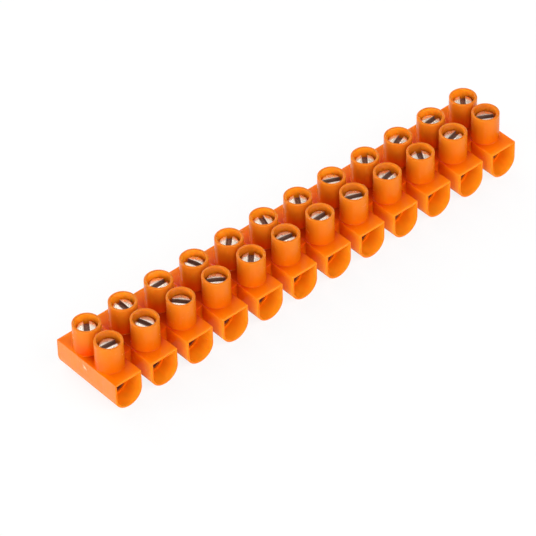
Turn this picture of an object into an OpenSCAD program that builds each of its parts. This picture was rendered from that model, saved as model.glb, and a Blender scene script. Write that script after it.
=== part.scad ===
// Terminal strip: a row of moulded poles, each with a metal clamp insert and two slotted clamp screws.
// Millimetres. +X runs along the row, +Y across it from wire mouth to wire mouth, +Z up.
// The origin is at the middle of the row, at the height of the poles' round bases.

/* [Strip] */
// Number of poles in the row
poles = 12; // [2:1:12]
// Distance between neighbouring poles
pitch = 10; // [9.6:0.1:14]
// Width of one pole
pole_w = 7.3; // [7:0.1:8.4]
// Length of one pole, from wire mouth to wire mouth
pole_l = 19.6; // [18.4:0.2:26]
// Height of one pole, from its round base to its flat top
pole_h = 8.1; // [7.6:0.1:11]

/* [Webs] */
// Length of the round web between two poles, measured where it meets them
web_l = 6; // [4.4:0.2:9]
// Height of the web
web_h = 5.5; // [3:0.1:7]
// Drop of the web's top below the flat top of the poles
web_drop = 0.1; // [0.05:0.05:1]
// Diameter of the fixing hole through each web
fix_d = 3.2; // [2:0.1:3.6]

/* [Towers] */
// Distance between the two screw axes of a pole
row_gap = 7.3; // [7:0.1:8]
// Height of the screw towers above the flat top of the poles
tower_h = 6.9; // [4.5:0.1:9]
// Outer diameter of a tower at its rim
tower_d = 6.4; // [5.8:0.1:6.6]
// Growth of a tower's radius from its rim to its foot
tower_draft = 0.05; // [0.02:0.01:0.25]
// Bore of a tower, down to the insert
tower_bore = 5.2; // [4.6:0.1:5.4]
// Fillet at the foot of a tower
foot_fillet = 0.3; // [0.1:0.02:0.4]
// Chamfer on both edges of a tower's rim
rim_chamfer = 0.12; // [0.05:0.01:0.2]

/* [Wire mouths] */
// Wall round a wire mouth
mouth_wall = 0.5; // [0.4:0.05:0.8]

/* [Clamp inserts] */
// Width of the ledge between a mouth and the seat of the insert
seat_step = 0.45; // [0.1:0.05:0.5]
// Plastic left above the insert
roof = 0.8; // [0.6:0.1:1.4]
// Depth of an insert's end behind the ledge
insert_recess = 0.3; // [0.1:0.05:0.5]
// Clearance round an insert in its seat
insert_fit = 0.05; // [0.03:0.01:0.1]
// Metal between a tapped hole and the end of the insert
insert_end = 0.4; // [0.3:0.05:0.6]
// Metal under the wire hole
insert_floor = 0.5; // [0.4:0.05:0.8]
// Diameter of the wire hole
wire_d = 4.4; // [3:0.1:4.4]
// Countersink at the ends of the wire hole
lead_in = 0.15; // [0.05:0.05:0.3]

/* [Screws] */
// Thread diameter
thread_d = 2.5; // [2:0.1:3]
// Radial clearance of the thread in its tapped hole
thread_fit = 0.03; // [0.01:0.01:0.1]
// Diameter of the head
head_d = 4.3; // [3.8:0.1:4.4]
// Height of the head
head_h = 2; // [1.4:0.1:2.6]
// Depth of the head's top below the rim of its tower, with the screw backed out
head_sink = 1.4; // [0.9:0.1:2.4]
// Width of the slot
slot_w = 1.25; // [0.8:0.05:1.5]
// Depth of the slot
slot_h = 1; // [0.6:0.1:1.3]
// Height of the tip above the wire hole, with the screw backed out
tip_gap = 0.1; // [0.05:0.05:0.4]
// Chamfer round the head's top and the tip
screw_chamfer = 0.3; // [0.1:0.05:0.5]

/* [Hidden] */
$fn = 64;
// Overlap of pieces that are moulded as one, and run-out of a cut past the face it opens
lap = 0.2;
// Slot directions of the screws as they stand, in degrees from +X
front_slots = [-6, 105, 130, -35, 48, -10, 2, -22, 12, 60, 14, -30];
back_slots = [54, 88, 0, 107, 45, 71, 58, -25, 52, 24, 6, 50];

// Heights, from the base up
rim_z = pole_h + tower_h;
seat_wall = mouth_wall + seat_step;
seat_top = pole_h - roof;
insert_base = seat_wall + insert_fit;
insert_top = seat_top - insert_fit;
web_top = pole_h - web_drop;
wire_z = insert_base + insert_floor + wire_d / 2;
tip_z = wire_z + wire_d / 2 + tip_gap;
head_top = rim_z - head_sink;
head_base = head_top - head_h;

// Lengths and radii
web_r = norm([web_l, pitch - pole_w]) / 2;
tower_r = tower_d / 2;
foot_r = tower_r + tower_draft;
bore_r = tower_bore / 2;
head_r = head_d / 2;
thread_r = thread_d / 2;
tapped_r = thread_r + thread_fit;
insert_l = row_gap + 2 * (tapped_r + insert_end);
seat_l = insert_l + 2 * insert_recess;
mouth_depth = (pole_l - seat_l) / 2;

function pole_x(i) = (i - (poles + 1) / 2) * pitch;
function number(i) = i < 10 ? str("0", i) : str(i);
function insert_name(i) = str("insert_", number(i));
function front_name(i) = str("screw_front_", number(i));
function back_name(i) = str("screw_back_", number(i));

// Section of a pole set in by a wall: straight sides, a round base and a flat top at a given height
module pole_section(wall, top) {
    r = pole_w / 2 - wall;
    translate([0, pole_w / 2]) {
        circle(r);
        translate([-r, 0]) square([2 * r, top - pole_w / 2]);
    }
}

// That section run along the pole, over a length centred on the row
module pole_run(wall, top, length) {
    translate([0, length / 2, 0]) rotate([90, 0, 0]) linear_extrude(length) pole_section(wall, top);
}

// One screw tower, turned about its own axis, with its foot let into the pole's top
module tower() {
    rotate_extrude() {
        polygon([
            [0, -lap],
            [foot_r, -lap],
            [foot_r, 0],
            [tower_r, tower_h - rim_chamfer],
            [tower_r - rim_chamfer, tower_h],
            [0, tower_h]
        ]);
        foot_fillet_section();
    }
}

// Fillet between a tower and the pole's top: a corner less a quarter round that just crosses the top
module foot_fillet_section() {
    difference() {
        translate([foot_r - lap, -lap]) square([lap + foot_fillet, lap + foot_fillet]);
        translate([foot_r + foot_fillet, foot_fillet - foot_fillet / 10]) circle(foot_fillet);
    }
}

// The bore of a tower, from the seat of the insert to its chamfered rim
module tower_bore() {
    rotate_extrude() polygon([
        [0, -roof - lap],
        [bore_r, -roof - lap],
        [bore_r, tower_h - rim_chamfer],
        [bore_r + rim_chamfer, tower_h],
        [bore_r + rim_chamfer, tower_h + lap],
        [0, tower_h + lap]
    ]);
}

// Both screw places of a pole
module at_screws() {
    for (side = [-1, 1]) translate([0, side * row_gap / 2, 0]) children();
}

// The round web between two poles, let into both of their walls
module web() {
    translate([0, 0, web_top - web_h]) cylinder(r = web_r, h = web_h);
}

// The moulding: poles, towers and webs, less the mouths, seats, bores and fixing holes
module housing() color("darkorange") difference() {
    union() {
        for (i = [1:poles]) translate([pole_x(i), 0, 0]) {
            pole_run(0, pole_h, pole_l);
            translate([0, 0, pole_h]) at_screws() tower();
        }
        for (i = [1:poles - 1]) translate([pole_x(i + 0.5), 0, 0]) web();
    }
    for (i = [1:poles]) translate([pole_x(i), 0, 0]) {
        pole_run(seat_wall, seat_top, seat_l + lap);
        for (side = [-1, 1]) translate([0, side * (pole_l + lap - mouth_depth) / 2, 0])
            pole_run(mouth_wall, pole_h - mouth_wall, mouth_depth + lap);
        translate([0, 0, pole_h]) at_screws() tower_bore();
    }
    for (i = [1:poles - 1]) translate([pole_x(i + 0.5), 0, -lap])
        cylinder(r = fix_d / 2, h = pole_h + 2 * lap);
}

// A clamp insert: a bar that follows its seat, with a wire hole along it and two tapped holes
module insert() color("goldenrod") difference() {
    pole_run(insert_base, insert_top, insert_l);
    translate([0, 0, wire_z]) rotate([90, 0, 0]) {
        cylinder(d = wire_d, h = insert_l + 2 * lap, center = true);
        for (end = [0, 1]) mirror([0, 0, end]) translate([0, 0, insert_l / 2 - lead_in])
            cylinder(r1 = wire_d / 2, r2 = wire_d / 2 + lead_in, h = lead_in);
    }
    translate([0, 0, wire_z]) at_screws() cylinder(r = tapped_r, h = insert_top - wire_z + lap);
}

// A clamp screw with its slot turned to a given direction
module screw(slot_deg) color("silver") difference() {
    rotate_extrude() polygon([
        [0, tip_z],
        [thread_r - screw_chamfer, tip_z],
        [thread_r, tip_z + screw_chamfer],
        [thread_r, head_base],
        [head_r, head_base],
        [head_r, head_top - screw_chamfer],
        [head_r - screw_chamfer, head_top],
        [0, head_top]
    ]);
    rotate([0, 0, slot_deg]) translate([-head_r - lap, -slot_w / 2, head_top - slot_h])
        cube([head_d + 2 * lap, slot_w, slot_h + lap]);
}

housing();
for (i = [1:poles]) translate([pole_x(i), 0, 0]) {
    insert();
    translate([0, -row_gap / 2, 0]) screw(front_slots[i - 1]);
    translate([0, row_gap / 2, 0]) screw(back_slots[i - 1]);
}
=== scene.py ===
import bpy
import bmesh
import math
from mathutils import Matrix, Vector


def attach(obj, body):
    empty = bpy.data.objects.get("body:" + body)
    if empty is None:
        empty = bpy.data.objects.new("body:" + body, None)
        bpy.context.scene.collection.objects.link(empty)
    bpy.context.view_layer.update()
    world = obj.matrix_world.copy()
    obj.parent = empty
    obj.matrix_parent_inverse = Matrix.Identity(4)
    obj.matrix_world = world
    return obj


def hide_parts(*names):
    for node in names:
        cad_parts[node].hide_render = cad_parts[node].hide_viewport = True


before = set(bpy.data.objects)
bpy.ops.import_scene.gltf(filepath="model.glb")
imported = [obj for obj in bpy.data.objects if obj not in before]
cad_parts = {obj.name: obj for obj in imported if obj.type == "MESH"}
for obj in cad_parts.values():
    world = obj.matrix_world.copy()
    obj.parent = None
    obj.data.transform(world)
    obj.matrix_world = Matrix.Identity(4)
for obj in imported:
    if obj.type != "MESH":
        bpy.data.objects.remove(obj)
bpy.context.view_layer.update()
scene = bpy.context.scene
scene.view_settings.view_transform = "Standard"
mm = 0.001
print("frame loaded:", len(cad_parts), "nodes")


# mesh helpers: pieces are shaped in millimetres and brought to metres when they are finished

meshRules = {
    "weld": 0.0005, "sliver": 0.002, "near": 0.001, "planeNear": 0.00001, "sharpDegrees": 38,
    "cornerSteps": 5, "edgeSteps": 3, "smallSteps": 2,
}


def meshObject(name, bm):
    bmesh.ops.remove_doubles(bm, verts=bm.verts, dist=meshRules["weld"])
    bmesh.ops.recalc_face_normals(bm, faces=bm.faces)
    mesh = bpy.data.meshes.new(name)
    bm.to_mesh(mesh)
    bm.free()
    obj = bpy.data.objects.new(name, mesh)
    scene.collection.objects.link(obj)
    return obj


def openMesh(obj):
    bm = bmesh.new()
    bm.from_mesh(obj.data)
    return bm


def closeMesh(bm, obj):
    bm.to_mesh(obj.data)
    bm.free()


def combine(target, tool, operation):
    # applies a boolean at once and removes the tool
    cut = target.modifiers.new("cut", "BOOLEAN")
    cut.object, cut.operation, cut.solver = tool, operation, "EXACT"
    bpy.context.view_layer.update()
    graph = bpy.context.evaluated_depsgraph_get()
    done = bpy.data.meshes.new_from_object(target.evaluated_get(graph))
    target.modifiers.clear()
    target.data = done
    bpy.data.objects.remove(tool)
    return target


def roundOff(bm, geom, offset, segments, affect="EDGES"):
    bmesh.ops.bevel(bm, geom=geom, affect=affect, offset=offset, segments=segments,
                    profile=0.5, material=-1)


def turned(name, points, steps):
    # points are (radius, height, rounding of that corner), from axis to axis
    bm = bmesh.new()
    line = [bm.verts.new((r, 0, z)) for r, z, _ in points]
    for a, b in zip(line, line[1:]):
        bm.edges.new((a, b))
    for v, (_, _, rounding) in zip(line, points):
        if rounding:
            roundOff(bm, [v], rounding, meshRules["cornerSteps"], "VERTICES")
    bmesh.ops.spin(bm, geom=bm.verts[:] + bm.edges[:], cent=(0, 0, 0), axis=(0, 0, 1),
                   angle=math.tau, steps=steps, use_merge=True)
    return meshObject(name, bm)


def shifted(obj, move, turn=None):
    obj.data.transform(Matrix.Translation(move) @ (turn or Matrix.Identity(4)))
    return obj


def placedCopy(name, source, move, turn=None):
    piece = bpy.data.objects.new(name, source.data.copy())
    scene.collection.objects.link(piece)
    return shifted(piece, move, turn)


def addCopy(bm, source, x):
    bm.from_mesh(source.data)
    fresh = bm.verts[-len(source.data.vertices):]
    bmesh.ops.translate(bm, verts=fresh, vec=(x, 0, 0))


def finishPiece(obj, body, slotName, material, *nodes):
    # no slivers from the booleans, metres, smooth faces with sharp corners kept, even normals on the flats
    sharp = math.radians(meshRules["sharpDegrees"])
    bm = openMesh(obj)
    bmesh.ops.dissolve_degenerate(bm, dist=meshRules["sliver"], edges=bm.edges)
    bm.transform(Matrix.Scale(mm, 4))
    for f in bm.faces:
        f.smooth = True
    for e in bm.edges:
        e.smooth = not (e.is_manifold and e.calc_face_angle(0) > sharp)
    closeMesh(bm, obj)
    obj.data.materials.clear()
    obj.data.materials.append(material)
    even = obj.modifiers.new("evenNormals", "WEIGHTED_NORMAL")
    even.keep_sharp = True
    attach(obj, body)
    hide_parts(*nodes)
    return obj


# node helpers

def addNode(tree, kind, **values):
    node = tree.nodes.new(kind)
    for key, value in values.items():
        if key in node.inputs:
            node.inputs[key].default_value = value
        else:
            setattr(node, key, value)
    return node


def wire(tree, start, end):
    tree.links.new(start, end)


def feed(tree, value, socket):
    # a number or a colour is set on the socket, an output is wired to it
    if isinstance(value, (int, float, tuple)):
        socket.default_value = value
    else:
        wire(tree, value, socket)


def calc(tree, operation, a, b=0.0, clamp=False):
    node = addNode(tree, "ShaderNodeMath", operation=operation, use_clamp=clamp)
    feed(tree, a, node.inputs[0])
    feed(tree, b, node.inputs[1])
    return node.outputs[0]


def product(tree, first, *others):
    for value in others:
        first = calc(tree, "MULTIPLY", first, value)
    return first


def weightedSum(tree, base, *terms):
    # terms are (value, weight)
    for value, weight in terms:
        base = calc(tree, "ADD", calc(tree, "MULTIPLY", value, weight), base)
    return base


def ramp(tree, value, span, start=0.0, end=1.0):
    node = addNode(tree, "ShaderNodeMapRange", clamp=True, interpolation_type="SMOOTHSTEP")
    for name, number in zip(("From Min", "From Max", "To Min", "To Max"), (*span, start, end)):
        node.inputs[name].default_value = number
    wire(tree, value, node.inputs["Value"])
    return node.outputs["Result"]


def fade(tree, value, span):
    return ramp(tree, value, span, 1.0, 0.0)


def blendColour(tree, factor, first, second):
    node = addNode(tree, "ShaderNodeMix", data_type="RGBA", clamp_factor=True)
    feed(tree, factor, node.inputs["Factor"])
    firstIn, secondIn = [s for s in node.inputs if s.type == "RGBA"]
    feed(tree, first, firstIn)
    feed(tree, second, secondIn)
    return [s for s in node.outputs if s.type == "RGBA"][0]


def stretchedNoise(tree, vector, stretch, turn=(0, 0, 0), **values):
    place = addNode(tree, "ShaderNodeMapping", Rotation=turn, Scale=stretch)
    noise = addNode(tree, "ShaderNodeTexNoise", **values)
    wire(tree, vector, place.inputs["Vector"])
    wire(tree, place.outputs["Vector"], noise.inputs["Vector"])
    return noise


def newGroup(name, numbers, outputs):
    # a group that takes a place and some numbers, and gives masks and heights
    group = bpy.data.node_groups.new(name, "ShaderNodeTree")
    group.interface.new_socket("Vector", in_out="INPUT", socket_type="NodeSocketVector")
    for label in numbers:
        group.interface.new_socket(label, in_out="INPUT", socket_type="NodeSocketFloat")
    for label in outputs:
        group.interface.new_socket(label, in_out="OUTPUT", socket_type="NodeSocketFloat")
    return group, group.nodes.new("NodeGroupInput"), group.nodes.new("NodeGroupOutput")


def useGroup(tree, group, vector, **values):
    node = addNode(tree, "ShaderNodeGroup", node_tree=group)
    for key, value in values.items():
        node.inputs[key].default_value = value
    wire(tree, vector, node.inputs["Vector"])
    return node


def newMaterial(name):
    mat = bpy.data.materials.new(name)
    mat.use_nodes = True
    return mat, mat.node_tree, mat.node_tree.nodes["Principled BSDF"]


def millimetres(tree):
    # object coordinates of the whole strip, in millimetres
    where = addNode(tree, "ShaderNodeTexCoord")
    scaled = addNode(tree, "ShaderNodeMapping", Scale=(1 / mm, 1 / mm, 1 / mm))
    wire(tree, where.outputs["Object"], scaled.inputs["Vector"])
    return scaled.outputs["Vector"]


def vertexTone(tree, name):
    return addNode(tree, "ShaderNodeAttribute", attribute_name=name).outputs["Fac"]


def addBump(tree, shader, height, strength, distance):
    bump = addNode(tree, "ShaderNodeBump", Strength=strength, Distance=distance)
    wire(tree, height, bump.inputs["Height"])
    wire(tree, bump.outputs["Normal"], shader.inputs["Normal"])


# shared surface effects

grainSettings = {"fineHeight": 0.7, "mottleSpan": (0.3, 0.7)}


def makeSkinGrain():
    # fine skin of a moulded or plated surface, with a slow mottle under it
    group, start, end = newGroup("skinGrain", ("Fine", "Slow"), ("Height", "Mottle"))
    fine = addNode(group, "ShaderNodeTexNoise", Detail=3.0, Roughness=0.55)
    slow = addNode(group, "ShaderNodeTexNoise", Detail=2.0, Roughness=0.5, Distortion=0.4)
    for node, scale in ((fine, "Fine"), (slow, "Slow")):
        wire(group, start.outputs["Vector"], node.inputs["Vector"])
        wire(group, start.outputs[scale], node.inputs["Scale"])
    height = product(group, fine.outputs["Fac"], grainSettings["fineHeight"])
    wire(group, height, end.inputs["Height"])
    wire(group, ramp(group, slow.outputs["Fac"], grainSettings["mottleSpan"]), end.inputs["Mottle"])
    return group


scuffSettings = {
    # turn and stretch of each noise
    "strokes": [((0.3, 0.5, 0.4), (2.2, 0.22, 0.5)), ((1.1, 0.2, 1.9), (0.25, 1.9, 0.6))],
    "level": 0.5, "patchScale": 0.6, "patchSpan": (0.5, 0.62),
}


def makeScuffs():
    # thin broken scratches: two stretched noises, each kept only near one level
    look = scuffSettings
    group, start, end = newGroup("scuffs", ("Scale", "Width"), ("Mask",))
    lines = []
    for turn, stretch in look["strokes"]:
        noise = stretchedNoise(group, start.outputs["Vector"], stretch, turn, Detail=1.0, Roughness=0.4)
        wire(group, start.outputs["Scale"], noise.inputs["Scale"])
        away = calc(group, "ABSOLUTE", calc(group, "SUBTRACT", noise.outputs["Fac"], look["level"]))
        share = calc(group, "DIVIDE", away, start.outputs["Width"])
        lines.append(calc(group, "SUBTRACT", 1.0, share, clamp=True))
    patches = addNode(group, "ShaderNodeTexNoise", Scale=look["patchScale"], Detail=1.0)
    wire(group, start.outputs["Vector"], patches.inputs["Vector"])
    worn = ramp(group, patches.outputs["Fac"], look["patchSpan"])
    wire(group, product(group, calc(group, "MAXIMUM", *lines), worn), end.inputs["Mask"])
    return group


skinGrain = makeSkinGrain()
scuffs = makeScuffs()


# sizes of the moulding in millimetres, which its finish goes by too

housing = {
    "poles": 12, "pitch": 10.0,
    "width": 7.3, "length": 19.6, "height": 8.1, "edgeRound": 0.2,
    "towerGap": 7.3, "towerHeight": 6.9, "rimRadius": 3.2, "footRadius": 3.25, "boreRadius": 2.6,
    "rimRound": 0.2, "boreRound": 0.14, "footRound": 0.14, "footSink": 0.012, "skirt": 0.02,
    "mouthWall": 0.5, "mouthDepth": 4.17, "mouthRound": 0.1, "mouthSteps": 4,
    "seatStep": 0.45, "roof": 0.8, "ledgeRound": 0.08, "ledgeEase": 0.3,
    "webRadius": 3.29, "webHeight": 5.5, "webDrop": 0.1, "webRound": 0.16,
    "fixingRadius": 1.6, "fixingSteps": 56,
    "arcSteps": 40, "turnSteps": 72,
    # how far tools and webs run past a face
    "lap": 0.2, "ledgeLap": 0.1, "towerLap": 0.5, "holeLap": 1.0, "rimLap": 0.004, "rimFlange": 0.4,
}


def poleX(number):
    return (number - (housing["poles"] + 1) / 2) * housing["pitch"]


stripEnd = poleX(housing["poles"]) + housing["width"] / 2

gateScar = {
    "place": (-stripEnd, 0.5, 6.4), "size": (0.22, 1.5, 0.5), "turn": 0.637, "edgeRound": 0.09,
    "markSize": (0.4, 0.95, 0.42), "markFade": (1.45, 0.7), "markCover": 0.8,
}


# orange moulding

orangeLook = {
    "colour": (0.93, 0.203, 0.001, 1),
    "deeper": (0.91, 0.184, 0.001, 1),
    "tower": (0.62, 0.160, 0.008, 1),
    "lowTowerShade": (0.52, 0.135, 0.005, 1),
    "mouthWall": (1.0, 0.31, 0.015, 1),
    "gapShade": (0.57, 0.045, 0.0005, 1),
    "paintedWallGlow": (1.0, 0.32, 0.012, 1),
    "mouthShade": (1.0, 0.23, 0.002, 1),
    "footShade": (0.70, 0.124, 0.001, 1),
    "valleyShade": (0.75, 0.066, 0.0003, 1),
    "endSheen": (0.76, 0.208, 0.056, 1),
    "gateMark": (1.0, 0.66, 0.46, 1),
    "topGlow": 0.6, "gapLow": 0.1, "gapHigh": 0.9, "sheenLow": 0.55, "sheenHigh": 0.85,
    "skin": {"Fine": 7.0, "Slow": 0.25}, "scuffs": {"Scale": 0.8, "Width": 0.010},
    "streaks": (0.9, 0.9, 0.03), "streakSpan": (0.25, 0.75),
    "roughness": 0.22, "skinRoughness": 0.08, "scuffRoughness": 0.18,
    "skinHeight": 0.0015, "scuffHeight": -0.003, "streakHeight": 0.045,
    "ior": 1.5, "gloss": 0.12, "glow": 0.4, "glowReach": (1.0, 0.36, 0.06),
}

orangeZones = {
    # heights above the flat tops of the poles
    "flatTop": (-0.25, -0.05), "poleTop": (0.1, 0.4), "towerStart": (0.0, 0.5), "towerRise": (0.5, 4.9),
    "gapRise": (-3.6, -0.1), "valleyStart": (-0.05, 0.4), "valleyRise": (0.4, 4.4),
    # distances out from the line along the middle of the strip
    "gapSide": (2.5, 6.5), "gapTop": (4.5, 9.0), "valleyShade": (1.0, 6.0),
    # distances past the faces of the mouths
    "wallGlow": (-4.0, -0.4), "lip": (-0.2, -0.02), "topGlow": (-1.3, 0.0),
    # distances past the end faces of the strip
    "lastPole": (-2.15, -0.35), "paleSheen": (-0.2, -0.01),
}


def makeOrange():
    look, zones = orangeLook, orangeZones
    mat, tree, shader = newMaterial("orangeMoulding")
    at = millimetres(tree)
    skin = useGroup(tree, skinGrain, at, **look["skin"])
    marks = useGroup(tree, scuffs, at, **look["scuffs"])
    streaks = stretchedNoise(tree, at, look["streaks"], Scale=1.0, Detail=2.0, Roughness=0.6)
    split = addNode(tree, "ShaderNodeSeparateXYZ")
    wire(tree, at, split.inputs[0])
    above = calc(tree, "SUBTRACT", split.outputs["Z"], housing["height"])
    out = calc(tree, "ABSOLUTE", split.outputs["Y"])
    pastFace = calc(tree, "SUBTRACT", out, housing["length"] / 2)
    pastEnd = calc(tree, "SUBTRACT", calc(tree, "ABSOLUTE", split.outputs["X"]), stripEnd)

    base = blendColour(tree, skin.outputs["Mottle"], look["colour"], look["deeper"])
    # painted shade: the towers are darker than the flat tops, and darker still low down near their feet
    base = blendColour(tree, ramp(tree, above, zones["towerStart"]), base, look["lowTowerShade"])
    base = blendColour(tree, ramp(tree, above, zones["towerRise"]), base, look["tower"])
    # on the poles, but for the strip's two ends, a painted glow stands in for light passing through the thin
    # walls of the mouths
    onTop = ramp(tree, above, zones["flatTop"])
    onPoles = product(tree, fade(tree, above, zones["poleTop"]), fade(tree, pastEnd, zones["lastPole"]))
    sides = product(tree, ramp(tree, pastFace, zones["wallGlow"]), fade(tree, pastFace, zones["lip"]),
                    fade(tree, above, zones["flatTop"]))
    tops = product(tree, ramp(tree, pastFace, zones["topGlow"], 0.0, look["topGlow"]), onTop)
    lit = product(tree, calc(tree, "MAXIMUM", sides, tops), onPoles)
    base = blendColour(tree, lit, base, look["mouthWall"])
    # painted shade between the poles, where less light gets in
    sides = product(tree, fade(tree, out, zones["gapSide"]),
                    ramp(tree, above, zones["gapRise"], look["gapLow"], look["gapHigh"]))
    tops = product(tree, fade(tree, out, zones["gapTop"]), onTop)
    dim = product(tree, calc(tree, "MAXIMUM", sides, tops), onPoles)
    base = blendColour(tree, dim, base, look["gapShade"])
    # painted tones carried on the vertices: glow on thin walls, shade deep in the mouths and round the
    # towers' feet
    for mark in ("paintedWallGlow", "mouthShade", "footShade"):
        base = blendColour(tree, vertexTone(tree, mark), base, look[mark])
    # and painted shade low down between the towers
    low = product(tree, ramp(tree, above, zones["valleyStart"]), fade(tree, above, zones["valleyRise"]))
    between = product(tree, fade(tree, out, zones["valleyShade"]), low)
    base = blendColour(tree, between, base, look["valleyShade"])
    # the two end faces of the strip are painted paler in uneven streaks, a painted sheen
    uneven = ramp(tree, streaks.outputs["Fac"], look["streakSpan"], look["sheenLow"], look["sheenHigh"])
    paleSheen = product(tree, ramp(tree, pastEnd, zones["paleSheen"]), uneven)
    base = blendColour(tree, paleSheen, base, look["endSheen"])
    # pale torn skin along the gate scar on the first pole's end
    place = addNode(tree, "ShaderNodeMapping", vector_type="TEXTURE", Location=gateScar["place"],
                    Rotation=(gateScar["turn"], 0, 0), Scale=gateScar["markSize"])
    away = addNode(tree, "ShaderNodeVectorMath", operation="LENGTH")
    wire(tree, at, place.inputs["Vector"])
    wire(tree, place.outputs["Vector"], away.inputs[0])
    torn = calc(tree, "ADD", away.outputs["Value"], skin.outputs["Height"])
    gate = ramp(tree, torn, gateScar["markFade"], 0.0, gateScar["markCover"])
    base = blendColour(tree, gate, base, look["gateMark"])
    wire(tree, base, shader.inputs["Base Color"])

    rough = weightedSum(tree, look["roughness"] - look["skinRoughness"] / 2,
                        (skin.outputs["Height"], look["skinRoughness"]),
                        (marks.outputs["Mask"], look["scuffRoughness"]))
    wire(tree, rough, shader.inputs["Roughness"])
    height = weightedSum(tree, 0.0,
                         (skin.outputs["Height"], look["skinHeight"]),
                         (marks.outputs["Mask"], look["scuffHeight"]),
                         (streaks.outputs["Fac"], look["streakHeight"]))
    addBump(tree, shader, height, 1.0, mm)
    shader.inputs["IOR"].default_value = look["ior"]
    shader.inputs["Specular IOR Level"].default_value = look["gloss"]
    shader.inputs["Subsurface Weight"].default_value = look["glow"]
    shader.inputs["Subsurface Radius"].default_value = look["glowReach"]
    shader.inputs["Subsurface Scale"].default_value = mm
    return mat


# plated screw steel, with turning rings on the head from the piece's own map

steelLook = {
    "colour": (0.86, 0.79, 0.68, 1),
    "dull": (0.80, 0.73, 0.64, 1),
    "slotShade": (0.150, 0.050, 0.026, 1),
    "dullShare": 0.45, "shadeSpan": (0.15, 0.45), "shadeLow": 0.6, "shadeHigh": 1.0,
    "skin": {"Fine": 9.0, "Slow": 0.9}, "scuffs": {"Scale": 2.2, "Width": 0.014}, "rings": 9.0,
    "metal": 1.0, "shadeMetal": -0.7,
    "roughness": 0.22, "dullRoughness": 0.10, "scuffRoughness": 0.15, "shadeRoughness": 0.3,
    "ringHeight": 0.6, "skinHeight": 0.3, "scuffHeight": -0.5, "bump": 0.25, "bumpDistance": 0.00003,
}


def makeSteel():
    look = steelLook
    mat, tree, shader = newMaterial("platedSteel")
    at = millimetres(tree)
    skin = useGroup(tree, skinGrain, at, **look["skin"])
    marks = useGroup(tree, scuffs, at, **look["scuffs"])
    head = addNode(tree, "ShaderNodeUVMap", uv_map="headPlane")
    fromAxis = addNode(tree, "ShaderNodeVectorMath", operation="LENGTH")
    wire(tree, head.outputs["UV"], fromAxis.inputs[0])
    rings = addNode(tree, "ShaderNodeTexNoise", noise_dimensions="1D", Scale=look["rings"], Detail=2.0)
    wire(tree, fromAxis.outputs["Value"], rings.inputs["W"])

    # painted shade in the slot, patchy, and there the steel is also rougher and less metallic
    uneven = ramp(tree, skin.outputs["Height"], look["shadeSpan"], look["shadeLow"], look["shadeHigh"])
    inSlotShade = product(tree, vertexTone(tree, "slotShade"), uneven)
    dull = product(tree, skin.outputs["Mottle"], look["dullShare"])
    base = blendColour(tree, dull, look["colour"], look["dull"])
    base = blendColour(tree, inSlotShade, base, look["slotShade"])
    wire(tree, base, shader.inputs["Base Color"])
    rough = weightedSum(tree, look["roughness"],
                        (skin.outputs["Mottle"], look["dullRoughness"]),
                        (marks.outputs["Mask"], look["scuffRoughness"]),
                        (inSlotShade, look["shadeRoughness"]))
    wire(tree, rough, shader.inputs["Roughness"])
    wire(tree, weightedSum(tree, look["metal"], (inSlotShade, look["shadeMetal"])), shader.inputs["Metallic"])
    height = weightedSum(tree, 0.0,
                         (rings.outputs["Fac"], look["ringHeight"]),
                         (skin.outputs["Height"], look["skinHeight"]),
                         (marks.outputs["Mask"], look["scuffHeight"]))
    addBump(tree, shader, height, look["bump"], look["bumpDistance"])
    return mat


# drawn brass of the clamp inserts, dull and a little tarnished, with painted shade inside the holes for the
# wires

brassLook = {
    "colour": (0.28, 0.13, 0.04, 1),
    "tarnish": (0.16, 0.065, 0.02, 1),
    "holeShade": (0.080, 0.012, 0.003, 1),
    "tarnishShare": 0.7,
    "skin": {"Fine": 5.0, "Slow": 0.6}, "scuffs": {"Scale": 1.6, "Width": 0.02}, "lines": (6.0, 0.25, 6.0),
    "metal": 0.85, "holeMetal": -0.6,
    "roughness": 0.38, "tarnishRoughness": 0.14, "scuffRoughness": 0.12, "holeRoughness": 0.25,
    "lineHeight": 0.5, "skinHeight": 0.3, "bump": 0.3, "bumpDistance": 0.00003,
}


def makeBrass():
    look = brassLook
    mat, tree, shader = newMaterial("clampBrass")
    at = millimetres(tree)
    skin = useGroup(tree, skinGrain, at, **look["skin"])
    marks = useGroup(tree, scuffs, at, **look["scuffs"])
    lines = stretchedNoise(tree, at, look["lines"], Scale=1.0, Detail=2.0)
    inHoleShade = vertexTone(tree, "holeShade")

    tarnish = product(tree, skin.outputs["Mottle"], look["tarnishShare"])
    base = blendColour(tree, tarnish, look["colour"], look["tarnish"])
    base = blendColour(tree, inHoleShade, base, look["holeShade"])
    wire(tree, base, shader.inputs["Base Color"])
    rough = weightedSum(tree, look["roughness"],
                        (skin.outputs["Mottle"], look["tarnishRoughness"]),
                        (marks.outputs["Mask"], look["scuffRoughness"]),
                        (inHoleShade, look["holeRoughness"]))
    wire(tree, rough, shader.inputs["Roughness"])
    wire(tree, weightedSum(tree, look["metal"], (inHoleShade, look["holeMetal"])), shader.inputs["Metallic"])
    height = weightedSum(tree, 0.0,
                         (lines.outputs["Fac"], look["lineHeight"]),
                         (skin.outputs["Height"], look["skinHeight"]))
    addBump(tree, shader, height, look["bump"], look["bumpDistance"])
    return mat


orange, steel, brass = makeOrange(), makeSteel(), makeBrass()
print("materials made")


# the moulding: one pole is shaped whole, then set twelve times and joined by webs

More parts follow.
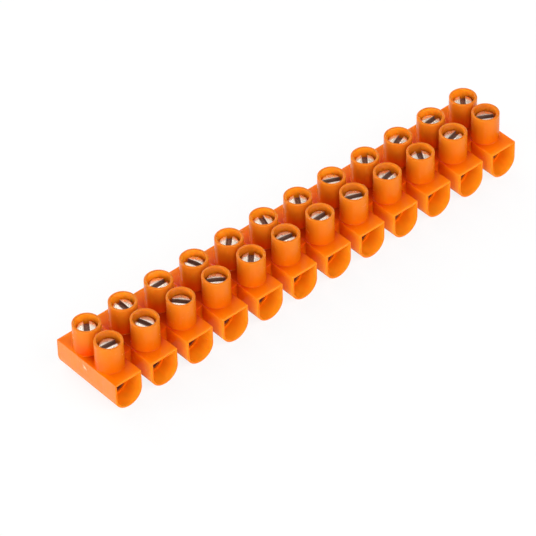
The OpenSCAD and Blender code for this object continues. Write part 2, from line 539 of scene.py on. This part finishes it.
def sectionLoop(bm, wall, top, y):
    # one side, the round base and the other side of a pole, closed across the top
    before = set(bm.edges)
    mid = housing["width"] / 2
    first = bm.verts.new((mid - wall, y, mid))
    arc = bmesh.ops.spin(bm, geom=[first], cent=(0, y, mid), axis=(0, 1, 0),
                         angle=math.pi, steps=housing["arcSteps"])
    raised = bmesh.ops.extrude_vert_indiv(bm, verts=[first, arc["geom_last"][0]])["verts"]
    for v in raised:
        v.co.z = top
    bm.edges.new(raised)
    return [e for e in bm.edges if e not in before]


def poleRun(stations):
    # stations are (wall, top, y); each loop is bridged to the next and the ends are closed
    bm = bmesh.new()
    loops = [sectionLoop(bm, *s) for s in stations]
    for a, b in zip(loops, loops[1:]):
        bmesh.ops.bridge_loops(bm, edges=a + b)
    for end in (loops[0], loops[-1]):
        bmesh.ops.contextual_create(bm, geom=end)
    return bm


def roundedRun(name, wall, top, length, rounding):
    near = meshRules["near"]
    bm = poleRun([(wall, top, -length / 2), (wall, top, length / 2)])
    ends = [e for e in bm.edges if abs(abs(e.verts[0].co.y + e.verts[1].co.y) - length) < near]
    level = [e for e in bm.edges if all(abs(v.co.z - top) < near for v in e.verts)]
    ridges = [e for e in level if e not in ends]
    roundOff(bm, ends + ridges, rounding, meshRules["edgeSteps"])
    return meshObject(name, bm)


def mouthCutter(side):
    # a wire mouth with a rounded lip, as steps of (how far out, y)
    h = housing
    face, lip = h["length"] / 2, h["mouthRound"]
    wall, top = h["mouthWall"], h["height"] - h["mouthWall"]
    steps = [(lip, face + h["lap"])]
    for step in range(h["mouthSteps"] + 1):
        turn = step / h["mouthSteps"] * math.pi / 2
        steps.append((lip * (1 - math.sin(turn)), face - lip * (1 - math.cos(turn))))
    steps.append((0, face - h["mouthDepth"]))
    return meshObject("mouthCutter", poleRun([(wall - out, top + out, side * y) for out, y in steps]))


def seatCutter():
    # the insert's seat, flared a little at the ledge in each mouth
    h = housing
    wall, top = h["mouthWall"] + h["seatStep"], h["height"] - h["roof"]
    end, flare = h["length"] / 2 - h["mouthDepth"], h["ledgeRound"]
    ease = flare * h["ledgeEase"]
    half = [(0, end - flare), (ease, end - ease), (flare, end), (flare, end + h["ledgeLap"])]
    steps = [(out, -y) for out, y in reversed(half)] + half
    return meshObject("seatCutter", poleRun([(wall - out, top + out, y) for out, y in steps]))


def makeTower():
    # heights are from the pole's flat top
    h = housing
    skirt = h["footRadius"] + h["footRound"] + h["skirt"]
    return turned("tower", [
        (0, -h["towerLap"], 0), (skirt, -h["towerLap"], 0), (skirt, -h["footSink"], 0),
        (h["footRadius"], -h["footSink"], h["footRound"]),
        (h["rimRadius"], h["towerHeight"], h["rimRound"]), (0, h["towerHeight"], 0)], h["turnSteps"])


def boreCutter():
    # through the tower and the roof of the seat, with a rounded edge at the rim
    h = housing
    low, rim, high = -h["roof"] - h["lap"], h["towerHeight"] + h["rimLap"], h["towerHeight"] + h["towerLap"]
    radius, wide = h["boreRadius"], h["boreRadius"] + h["rimFlange"]
    return turned("boreCutter", [
        (0, low, 0), (radius, low, 0), (radius, rim, h["boreRound"]),
        (wide, rim, 0), (wide, high, 0), (0, high, 0)], h["turnSteps"])


def makePole():
    h = housing
    pole = roundedRun("pole", 0, h["height"], h["length"], h["edgeRound"])
    for side in (-1, 1):
        combine(pole, mouthCutter(side), "DIFFERENCE")
    combine(pole, seatCutter(), "DIFFERENCE")
    for side in (-1, 1):
        place = (0, side * h["towerGap"] / 2, h["height"])
        combine(pole, shifted(makeTower(), place), "UNION")
        combine(pole, shifted(boreCutter(), place), "DIFFERENCE")
    return pole


def makeWeb():
    # a round boss, kept only between the walls of its two poles
    h = housing
    top = h["height"] - h["webDrop"]
    base = top - h["webHeight"]
    reach = (h["pitch"] - h["width"]) / 2 + h["lap"]
    web = turned("web", [
        (0, base, 0), (h["webRadius"], base, h["webRound"]),
        (h["webRadius"], top, h["webRound"]), (0, top, 0)], h["turnSteps"])
    bm = openMesh(web)
    for side in (-1, 1):
        cut = bmesh.ops.bisect_plane(bm, geom=bm.verts[:] + bm.edges[:] + bm.faces[:],
                                     dist=meshRules["planeNear"], plane_co=(side * reach, 0, 0),
                                     plane_no=(side, 0, 0), clear_outer=True)
        rim = [e for e in cut["geom_cut"] if isinstance(e, bmesh.types.BMEdge)]
        bmesh.ops.edgeloop_fill(bm, edges=rim)
    bmesh.ops.recalc_face_normals(bm, faces=bm.faces)
    closeMesh(bm, web)
    return web


toneMarks = {
    "near": 0.01, "rim": 0.1, "rimDepth": 0.3,
    "bore": 0.9, "boreStart": -0.9, "boreReach": 1.6,
    "footBand": 0.06, "footLow": 0.05, "footHigh": 0.4,
}


def markTones(strip):
    # painted light and shade on the vertices: a glow where the walls are thin, in the mouths and round the
    # towers, shade deeper into the mouths, and shade where the towers' feet are
    h, t = housing, toneMarks
    mid, face, rim = h["width"] / 2, h["length"] / 2, h["height"] + h["towerHeight"]
    inner, ceiling = mid - h["mouthWall"] + t["near"], h["height"] - h["mouthWall"] + t["near"]
    bm = openMesh(strip)
    glowLayer = bm.verts.layers.float.new("paintedWallGlow")
    deep = bm.verts.layers.float.new("mouthShade")
    footShadeLayer = bm.verts.layers.float.new("footShade")
    for v in bm.verts:
        x, y, z = v.co.x % h["pitch"] - h["pitch"] / 2, abs(v.co.y), v.co.z
        above, outward = z - h["height"], y - h["towerGap"] / 2
        fromAxis = math.hypot(x, outward)
        inMouth = math.hypot(x, min(z - mid, 0)) < inner and z < ceiling
        if inMouth and y > face - h["mouthDepth"] - t["near"]:
            v[glowLayer] = 1.0
            # painted shade, darker deeper into the mouth
            v[deep] = min(1.0, (face - y) / h["mouthDepth"])
        elif fromAxis < h["boreRadius"] + t["near"] and above > 0:
            # more painted glow on a bore's outer side, where more light comes through
            share = (outward / h["boreRadius"] - t["boreStart"]) / t["boreReach"]
            v[glowLayer] = t["bore"] * min(1.0, max(0.0, share))
        elif fromAxis < h["footRadius"] and z > rim - t["rimDepth"]:
            v[glowLayer] = t["rim"]
        # painted shade in the crease round each tower's foot
        elif abs(fromAxis - h["footRadius"]) < t["footBand"] and t["footLow"] < above < t["footHigh"]:
            v[footShadeLayer] = 1.0
    closeMesh(bm, strip)


def scarCutter():
    # shallow scar of the gate on the first pole's end
    bm = bmesh.new()
    block = bmesh.ops.create_cube(bm, size=1)["verts"]
    bmesh.ops.scale(bm, verts=block, vec=gateScar["size"])
    roundOff(bm, bm.edges[:], gateScar["edgeRound"], meshRules["smallSteps"])
    turn = Matrix.Rotation(gateScar["turn"], 3, "X")
    bmesh.ops.rotate(bm, verts=bm.verts, cent=(0, 0, 0), matrix=turn)
    bmesh.ops.translate(bm, verts=bm.verts, vec=gateScar["place"])
    return meshObject("gateScar", bm)


def makeHousing():
    h = housing
    pole, web = makePole(), makeWeb()
    row, webs, holes = bmesh.new(), bmesh.new(), bmesh.new()
    for n in range(1, h["poles"] + 1):
        addCopy(row, pole, poleX(n))
    for n in range(1, h["poles"]):
        between = poleX(n + 0.5)
        addCopy(webs, web, between)
        hole = bmesh.ops.create_cone(holes, cap_ends=True, segments=h["fixingSteps"],
                                     radius1=h["fixingRadius"], radius2=h["fixingRadius"],
                                     depth=h["height"] + 2 * h["holeLap"])["verts"]
        bmesh.ops.translate(holes, verts=hole, vec=(between, 0, h["height"] / 2))
    for shape in (pole, web):
        bpy.data.objects.remove(shape)
    strip = meshObject("moulding", row)
    combine(strip, meshObject("webs", webs), "UNION")
    combine(strip, meshObject("fixingHoles", holes), "DIFFERENCE")
    combine(strip, scarCutter(), "DIFFERENCE")
    markTones(strip)
    return finishPiece(strip, "strip", "housing_plastic", orange, "housing")


makeHousing()
print("moulding made")


# clamp inserts

insertBar = {
    "wall": 1.0, "top": 7.25, "length": 10.66, "edgeRound": 0.12,
    "wireRadius": 2.2, "wireHeight": 3.7, "leadIn": 0.15, "leadRound": 0.1, "wireLap": 0.3,
    "tappedRadius": 1.28, "sinkDepth": 0.15, "sinkLap": 0.2, "steps": 48, "leadInShade": 0.6,
}


def wireCutter():
    # a hole right through along Y, with a lead-in at each end
    i = insertBar
    end, radius = i["length"] / 2, i["wireRadius"]
    wide, past = radius + i["leadIn"], end + i["wireLap"]
    half = [(radius, end - i["leadIn"], i["leadRound"]), (wide, end, 0), (wide, past, 0), (0, past, 0)]
    bore = turned("wireBore", [(r, -z, c) for r, z, c in reversed(half)] + half, i["steps"])
    return shifted(bore, (0, 0, i["wireHeight"]), Matrix.Rotation(math.pi / 2, 4, "X"))


def tappedCutter(side):
    # a screw's hole, countersunk at the top
    i = insertBar
    radius, past = i["tappedRadius"], i["top"] + i["sinkLap"]
    hole = turned("tapped", [
        (0, i["wireHeight"], 0), (radius, i["wireHeight"], 0), (radius, i["top"] - i["sinkDepth"], 0),
        (radius + i["sinkDepth"] + i["sinkLap"], past, 0), (0, past, 0)], i["steps"])
    return shifted(hole, (0, side * housing["towerGap"] / 2, 0))


def makeInserts():
    i, near = insertBar, toneMarks["near"]
    bar = roundedRun("bar", i["wall"], i["top"], i["length"], i["edgeRound"])
    combine(bar, wireCutter(), "DIFFERENCE")
    for side in (-1, 1):
        combine(bar, tappedCutter(side), "DIFFERENCE")
    bm = openMesh(bar)
    # painted shade inside the wire hole, lighter on its lead-ins
    tone = bm.verts.layers.float.new("holeShade")
    reach = i["wireRadius"] + i["leadIn"] + 2 * near
    for v in bm.verts:
        if math.hypot(v.co.x, v.co.z - i["wireHeight"]) < reach:
            v[tone] = 1.0 if abs(v.co.y) < i["length"] / 2 - near else i["leadInShade"]
    closeMesh(bm, bar)
    for n in range(1, housing["poles"] + 1):
        piece = placedCopy("clamp_%02d" % n, bar, (poleX(n), 0, 0))
        finishPiece(piece, "strip", "insert_metal", brass, "insert_%02d" % n)
    bpy.data.objects.remove(bar)


makeInserts()
print("clamp inserts made")


# clamp screws

screw = {
    "tip": 6.0, "headBase": 11.6, "headTop": 13.6, "headRadius": 2.15, "headRound": 0.2,
    "baseRound": 0.08, "neck": 0.35, "tipRound": 0.25, "steps": 64,
    "crown": 0.05, "crownSteps": (0.85, 0.7, 0.5, 0.3, 0),
    "threadRadius": 1.25, "rootRadius": 0.98, "threadPitch": 0.45, "threadSteps": 28,
    "threadStart": 0.45, "threadStop": 0.85, "threadSink": 0.08,
    # half widths of the ridge at its sunk base, its foot and its crest, as shares of half the pitch
    "ridge": (0.92, 0.86, 0.14),
    "slotWidth": 1.25, "slotDepth": 1.0, "slotRound": 0.05, "slotLap": 0.5, "lipAngle": 0.6,
    "slotNear": 0.002, "lipDepth": 0.03, "floorDepth": 1.02, "wallShade": 0.85, "lipShade": 0.3,
    # how far each slot is turned, in degrees, from the first pole to the last
    "front": [-6, 105, 130, -35, 48, -10, 2, -22, 12, 60, 14, -30],
    "back": [54, 88, 0, 107, 45, 71, 58, -25, 52, 24, 6, 50],
}


def makeThread():
    # a V ridge wound up the shank
    s = screw
    bm = bmesh.new()
    half = s["threadPitch"] / 2
    radii = (s["rootRadius"] - s["threadSink"], s["rootRadius"], s["threadRadius"])
    flank = [(r, half * share) for r, share in zip(radii, s["ridge"])]
    points = [(r, -z) for r, z in flank] + flank[::-1]
    ring = [bm.verts.new((r, 0, s["tip"] + s["threadStart"] + z)) for r, z in points]
    cap = bm.faces.new(ring)
    run = s["headBase"] - s["tip"] - s["threadStart"] - s["threadStop"]
    steps = int(run / s["threadPitch"] * s["threadSteps"])
    bmesh.ops.spin(bm, geom=[cap] + list(cap.edges) + ring, cent=(0, 0, 0), axis=(0, 0, 1),
                   dvec=(0, 0, s["threadPitch"] / s["threadSteps"]),
                   angle=math.tau * steps / s["threadSteps"], steps=steps)
    return meshObject("thread", bm)


def slotCutter():
    s = screw
    bm = bmesh.new()
    block = bmesh.ops.create_cube(bm, size=1)["verts"]
    long = 2 * (s["headRadius"] + s["slotLap"])
    bmesh.ops.scale(bm, verts=block, vec=(long, s["slotWidth"], 2 * s["slotDepth"]))
    bmesh.ops.translate(bm, verts=block, vec=(0, 0, s["headTop"]))
    return meshObject("slotCutter", bm)


def makeBlank():
    s = screw
    root, thread, head = s["rootRadius"], s["threadRadius"], s["headRadius"]
    base, neck = s["headBase"], s["headBase"] - s["neck"]
    crown = [(head * k, s["headTop"] - s["crown"] * k * k, 0) for k in s["crownSteps"]]
    blank = turned("blank", [
        (0, s["tip"], 0), (root, s["tip"], s["tipRound"]),
        (root, neck, 0), (thread, neck, 0), (thread, base, 0),
        (head, base, s["baseRound"]), (head, s["headTop"] - s["crown"], s["headRound"])] + crown, s["steps"])
    combine(blank, makeThread(), "UNION")
    return combine(blank, slotCutter(), "DIFFERENCE")


def dressHead(blank):
    # rounded lips on the slot, painted shade in it, and the plane of the head for its turning rings
    s = screw
    wall, floor = s["slotWidth"] / 2, s["headTop"] - s["slotDepth"]
    bm = openMesh(blank)
    corners = [e for e in bm.edges if e.is_manifold and e.calc_face_angle(0) > s["lipAngle"]]
    onWall = {v for v in bm.verts
              if abs(abs(v.co.y) - wall) < meshRules["near"] and v.co.z > floor + toneMarks["near"]}
    lips = [e for e in corners if all(v in onWall for v in e.verts)]
    roundOff(bm, lips, s["slotRound"], meshRules["smallSteps"])
    shadeLayer = bm.verts.layers.float.new("slotShade")
    plane = bm.loops.layers.uv.new("headPlane")
    for v in bm.verts:
        deep, out = (s["headTop"] - v.co.z) / s["slotDepth"], abs(v.co.y)
        if out < wall + s["slotNear"] and s["lipDepth"] < deep < s["floorDepth"]:
            v[shadeLayer] = min(1.0, s["wallShade"] + (1 - s["wallShade"]) * deep)
        elif out < wall + s["slotRound"] + toneMarks["near"] and deep <= s["lipDepth"]:
            v[shadeLayer] = s["lipShade"]
    for f in bm.faces:
        for loop in f.loops:
            loop[plane].uv = loop.vert.co.xy
    closeMesh(bm, blank)


def makeScrews():
    blank = makeBlank()
    dressHead(blank)
    for row, side in (("front", -1), ("back", 1)):
        for n, degrees in enumerate(screw[row], 1):
            node = "screw_%s_%02d" % (row, n)
            place = (poleX(n), side * housing["towerGap"] / 2, 0)
            turn = Matrix.Rotation(math.radians(degrees), 4, "Z")
            piece = placedCopy("clampScrew_%s_%02d" % (row, n), blank, place, turn)
            finishPiece(piece, node, "screw_steel", steel, node)
    bpy.data.objects.remove(blank)


makeScrews()
print("clamp screws made")


# floor, light and camera

stageLook = {
    "floorColour": (0.92, 0.92, 0.92, 1), "floorRoughness": 0.9, "floorSize": 6.0,
    "floorGlow": 0.85, "floorMirror": 0.3,
    "skyColour": (1, 1, 1, 1), "skyLight": 0.22, "ceiling": 0.5, "wallSpan": (0.12, 0.5), "wallTop": 0.05,
    "aim": (0, 0, 0.005),
    # name, place, size, watts
    "lamps": [("front", (0.24, -0.70, 0.68), 0.80, 7.0),
              ("frontLeft", (-1.16, -0.96, 1.32), 1.60, 9.2),
              ("frontLow", (-1.16, -1.56, 0.44), 1.00, 12.0),
              ("lowLeft", (-1.90, -0.52, 0.34), 1.00, 18.0),
              ("lowRight", (0.93, 0.30, 0.22), 0.60, 3.5),
              ("rimLeft", (-1.58, 1.10, 0.52), 0.40, 12.5),
              ("back", (0.25, 0.90, 0.35), 0.80, 5.0),
              ("highBack", (-0.15, 0.50, 0.85), 0.70, 3.0)],
}


def rayKinds(tree):
    # rays straight from the camera, and rays by way of a mirror or glass
    path = addNode(tree, "ShaderNodeLightPath")
    mirrored = calc(tree, "MAXIMUM", path.outputs["Is Glossy Ray"], path.outputs["Is Transmission Ray"])
    return path.outputs["Is Camera Ray"], mirrored


def mixShaders(tree, factor, first, second):
    mix = addNode(tree, "ShaderNodeMixShader")
    for socket, output in zip(mix.inputs, (factor, first, second)):
        wire(tree, output, socket)
    return mix.outputs[0]


def makeFloor():
    look = stageLook
    bm = bmesh.new()
    bmesh.ops.create_grid(bm, x_segments=1, y_segments=1, size=look["floorSize"] / 2)
    floor = meshObject("floor", bm)
    mat, tree, shader = newMaterial("paleFloor")
    shader.inputs["Base Color"].default_value = look["floorColour"]
    shader.inputs["Roughness"].default_value = look["floorRoughness"]
    # in mirrors the floor keeps more of the strip's shadow
    direct, mirrored = rayKinds(tree)
    seen = calc(tree, "MAXIMUM", direct, product(tree, mirrored, look["floorMirror"]))
    glow = addNode(tree, "ShaderNodeEmission", Strength=1.0)
    upper = mixShaders(tree, product(tree, seen, look["floorGlow"]), shader.outputs[0], glow.outputs[0])
    # open from below, so that the underside of the strip can be looked at
    under = addNode(tree, "ShaderNodeNewGeometry")
    clear = addNode(tree, "ShaderNodeBsdfTransparent")
    both = mixShaders(tree, under.outputs["Backfacing"], upper, clear.outputs[0])
    wire(tree, both, tree.nodes["Material Output"].inputs["Surface"])
    floor.data.materials.append(mat)


def makeSky():
    # white round the horizon, darker towards the ceiling, and dimmer as light than in mirrors
    look = stageLook
    world = bpy.data.worlds.new("studio")
    scene.world = world
    world.use_nodes = True
    tree = world.node_tree
    sky = tree.nodes["Background"]
    direct, mirrored = rayKinds(tree)
    where = addNode(tree, "ShaderNodeTexCoord")
    split = addNode(tree, "ShaderNodeSeparateXYZ")
    wire(tree, where.outputs["Generated"], split.inputs[0])
    walls = ramp(tree, split.outputs["Z"], look["wallSpan"], 1.0, look["wallTop"])
    level = product(tree, walls, calc(tree, "MAXIMUM", mirrored, look["skyLight"]))
    level = calc(tree, "MAXIMUM", level, product(tree, mirrored, look["ceiling"]))
    sky.inputs["Color"].default_value = look["skyColour"]
    wire(tree, calc(tree, "MAXIMUM", direct, level), sky.inputs["Strength"])


def makeLamps():
    for name, place, size, watts in stageLook["lamps"]:
        lamp = bpy.data.lights.new(name, "AREA")
        lamp.size, lamp.energy = size, watts
        obj = bpy.data.objects.new(name, lamp)
        scene.collection.objects.link(obj)
        obj.location = place
        towards = Vector(stageLook["aim"]) - Vector(place)
        obj.rotation_euler = towards.to_track_quat("-Z", "Y").to_euler()
        obj.visible_camera = False


cameraView = {
    "azimuth": 40.965, "elevation": 42.043, "roll": -1.034,
    "distance": 0.845858, "target": (0, 0, 0.0081),
    "focalPixels": 3854.6, "targetPixel": (292.076, 237.68), "imagePixels": 536,
    "sensor": 36, "nearest": 0.01, "farthest": 20,
}


def makeCamera():
    c = cameraView
    a, e, r = (math.radians(c[k]) for k in ("azimuth", "elevation", "roll"))
    back = Vector((-math.sin(a) * math.cos(e), -math.cos(a) * math.cos(e), math.sin(e)))
    right = Vector((math.cos(a), -math.sin(a), 0))
    up = back.cross(right)
    right, up = right * math.cos(r) + up * math.sin(r), up * math.cos(r) - right * math.sin(r)
    place = Vector(c["target"]) + back * c["distance"]
    # turned so that the middle of the picture is the middle of the photograph
    acrossPixels, downPixels = (c["imagePixels"] / 2 - k for k in c["targetPixel"])
    back = (back * c["focalPixels"] - right * acrossPixels + up * downPixels).normalized()
    right = (right - back * right.dot(back)).normalized()
    up = back.cross(right)
    lens = bpy.data.cameras.new("view")
    lens.sensor_width = c["sensor"]
    lens.lens = c["focalPixels"] * lens.sensor_width / c["imagePixels"]
    lens.clip_start, lens.clip_end = c["nearest"], c["farthest"]
    camera = bpy.data.objects.new("view", lens)
    scene.collection.objects.link(camera)
    turn = Matrix((right, up, back)).transposed().to_4x4()
    camera.matrix_world = Matrix.Translation(place) @ turn
    scene.camera = camera


makeFloor()
makeSky()
makeLamps()
makeCamera()
print("stage and camera made")
